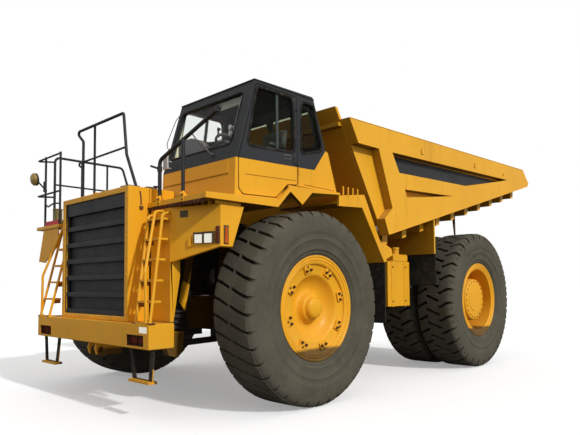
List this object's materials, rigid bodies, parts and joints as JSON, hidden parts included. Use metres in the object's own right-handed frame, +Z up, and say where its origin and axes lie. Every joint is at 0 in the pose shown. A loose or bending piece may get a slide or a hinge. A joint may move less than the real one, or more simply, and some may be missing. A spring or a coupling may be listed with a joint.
{
  "type": "mining dump truck",
  "caption": "Rigid two-axle mining dump truck with offset cab, tipping rock body, steered front wheels and twin rear wheels",
  "frame": {"origin": "on the ground, on the centre line, midway between the front of the bumper and the tail", "axes": "+X forwards, +Y to the driver's left, +Z up"},
  "size_m": [10.109, 5.074, 4.39],
  "materials": {
    "yellow_paint": "warm orange-yellow machine enamel, dusty",
    "bed_paint": "worn machine enamel, scuffed",
    "floor_steel": "scoured bare steel",
    "dark_paint": "satin charcoal enamel",
    "chassis_dark": "dark oily metal",
    "bright_steel": "polished rod",
    "tyre_rubber": "dusty rubber",
    "rubber_sheet": "matte sheet rubber",
    "cab_window": "tinted laminated glass",
    "lamp_glass": "clear lens",
    "seat_fabric": "woven grey fabric",
    "cab_plastic": "moulded plastic"
  },
  "bodies": {
    "chassis": {"frame": "yellow_paint", "engine_block": "chassis_dark", "oil_coolers": "chassis_dark", "front_bumper": "yellow_paint", "ladders": "yellow_paint", "grille_surround": "yellow_paint", "grille": "dark_paint", "hood": "yellow_paint", "front_fenders": "yellow_paint", "decks": "yellow_paint", "handrails": "dark_paint", "mirrors": "dark_paint", "cab_lower": "yellow_paint", "cab_upper": "dark_paint", "cab_roof": "dark_paint", "cab_glass": "cab_window", "cab_seat": "seat_fabric", "cab_dashboard": "cab_plastic", "lamps": "lamp_glass", "front_arms": "chassis_dark", "suspension_struts": "chassis_dark", "rear_axle": "chassis_dark", "mudguards": "yellow_paint", "mudflaps": "rubber_sheet", "side_tanks": "yellow_paint"},
    "cab_door": {"cab_door": "yellow_paint", "door_glass": "cab_window"},
    "dump_body": {"bed_sides": "bed_paint", "bed_floor": "floor_steel", "bed_front_wall": "bed_paint", "bed_bolsters": "bed_paint", "bed_underframe": "bed_paint", "bed_flaps": "rubber_sheet"},
    "tie_rod": {"tie_rod": "chassis_dark"},
    "knuckle_left": {"knuckle_left": "chassis_dark"},
    "front_wheel_left": {"front_rim_left": "yellow_paint", "front_tyre_left": "tyre_rubber"},
    "rear_wheels_left": {"rear_rims_left": "yellow_paint", "rear_tyres_left": "tyre_rubber"},
    "hoist_barrel_left": {"hoist_barrel_left": "yellow_paint"},
    "hoist_sleeve_left": {"hoist_sleeve_left": "bright_steel"},
    "hoist_rod_left": {"hoist_rod_left": "bright_steel"},
    "knuckle_right": {"knuckle_right": "chassis_dark"},
    "front_wheel_right": {"front_rim_right": "yellow_paint", "front_tyre_right": "tyre_rubber"},
    "rear_wheels_right": {"rear_rims_right": "yellow_paint", "rear_tyres_right": "tyre_rubber"},
    "hoist_barrel_right": {"hoist_barrel_right": "yellow_paint"},
    "hoist_sleeve_right": {"hoist_sleeve_right": "bright_steel"},
    "hoist_rod_right": {"hoist_rod_right": "bright_steel"}
  },
  "joints": [
    {"name": "door_swing", "type": "hinge", "parent": "chassis", "child": "cab_door", "pos_m": [3.0085, 2.17, 3.78], "axis": [0, 0, 1], "range_deg": [0, 80]},
    {"name": "bed_tilt", "type": "hinge", "parent": "chassis", "child": "dump_body", "pos_m": [-3.3035, 0, 2.55], "axis": [0, -1, 0], "range_deg": [0, 48]},
    {"name": "steer_left", "type": "hinge", "parent": "chassis", "child": "knuckle_left", "pos_m": [2.9465, 1.66, 1.33], "axis": [0, 0, 1], "range_deg": [-38, 38]},
    {"name": "front_roll_left", "type": "hinge", "parent": "knuckle_left", "child": "front_wheel_left", "pos_m": [2.9465, 2.165, 1.33], "axis": [0, 1, 0], "continuous": true},
    {"name": "rear_roll_left", "type": "hinge", "parent": "chassis", "child": "rear_wheels_left", "pos_m": [-2.0035, 1.73, 1.33], "axis": [0, 1, 0], "continuous": true},
    {"name": "hoist_swing_left", "type": "hinge", "parent": "chassis", "child": "hoist_barrel_left", "pos_m": [-0.5035, 0.76, 1.1], "axis": [0, -1, 0], "range_deg": [0, 24]},
    {"name": "hoist_sleeve_slide_left", "type": "slide", "parent": "hoist_barrel_left", "child": "hoist_sleeve_left", "axis": [0.2272, 0, 0.9738], "range_m": [0, 1.205]},
    {"name": "hoist_rod_slide_left", "type": "slide", "parent": "hoist_sleeve_left", "child": "hoist_rod_left", "axis": [0.2272, 0, 0.9738], "range_m": [0, 1.205]},
    {"name": "steer_right", "type": "hinge", "parent": "chassis", "child": "knuckle_right", "pos_m": [2.9465, -1.66, 1.33], "axis": [0, 0, 1], "range_deg": [-38, 38]},
    {"name": "front_roll_right", "type": "hinge", "parent": "knuckle_right", "child": "front_wheel_right", "pos_m": [2.9465, -2.165, 1.33], "axis": [0, 1, 0], "continuous": true},
    {"name": "rear_roll_right", "type": "hinge", "parent": "chassis", "child": "rear_wheels_right", "pos_m": [-2.0035, -1.73, 1.33], "axis": [0, 1, 0], "continuous": true},
    {"name": "hoist_swing_right", "type": "hinge", "parent": "chassis", "child": "hoist_barrel_right", "pos_m": [-0.5035, -0.76, 1.1], "axis": [0, -1, 0], "range_deg": [0, 24]},
    {"name": "hoist_sleeve_slide_right", "type": "slide", "parent": "hoist_barrel_right", "child": "hoist_sleeve_right", "axis": [0.2272, 0, 0.9738], "range_m": [0, 1.205]},
    {"name": "hoist_rod_slide_right", "type": "slide", "parent": "hoist_sleeve_right", "child": "hoist_rod_right", "axis": [0.2272, 0, 0.9738], "range_m": [0, 1.205]},
    {"name": "tie_rod_swing", "type": "hinge", "parent": "knuckle_left", "child": "tie_rod", "pos_m": [2.4465, 1.66, 0.9], "axis": [0, 0, 1], "range_deg": [-38, 38]}
  ],
  "couplings": [
    {"joint": "hoist_swing_left", "follows": "bed_tilt", "ratio": 0.498},
    {"joint": "hoist_sleeve_slide_left", "follows": "bed_tilt", "m_per_rad": 1.435},
    {"joint": "hoist_rod_slide_left", "follows": "bed_tilt", "m_per_rad": 1.435},
    {"joint": "hoist_swing_right", "follows": "bed_tilt", "ratio": 0.498},
    {"joint": "hoist_sleeve_slide_right", "follows": "bed_tilt", "m_per_rad": 1.435},
    {"joint": "hoist_rod_slide_right", "follows": "bed_tilt", "m_per_rad": 1.435},
    {"joint": "steer_right", "follows": "steer_left", "ratio": 1},
    {"joint": "tie_rod_swing", "follows": "steer_left", "ratio": -1}
  ]
}
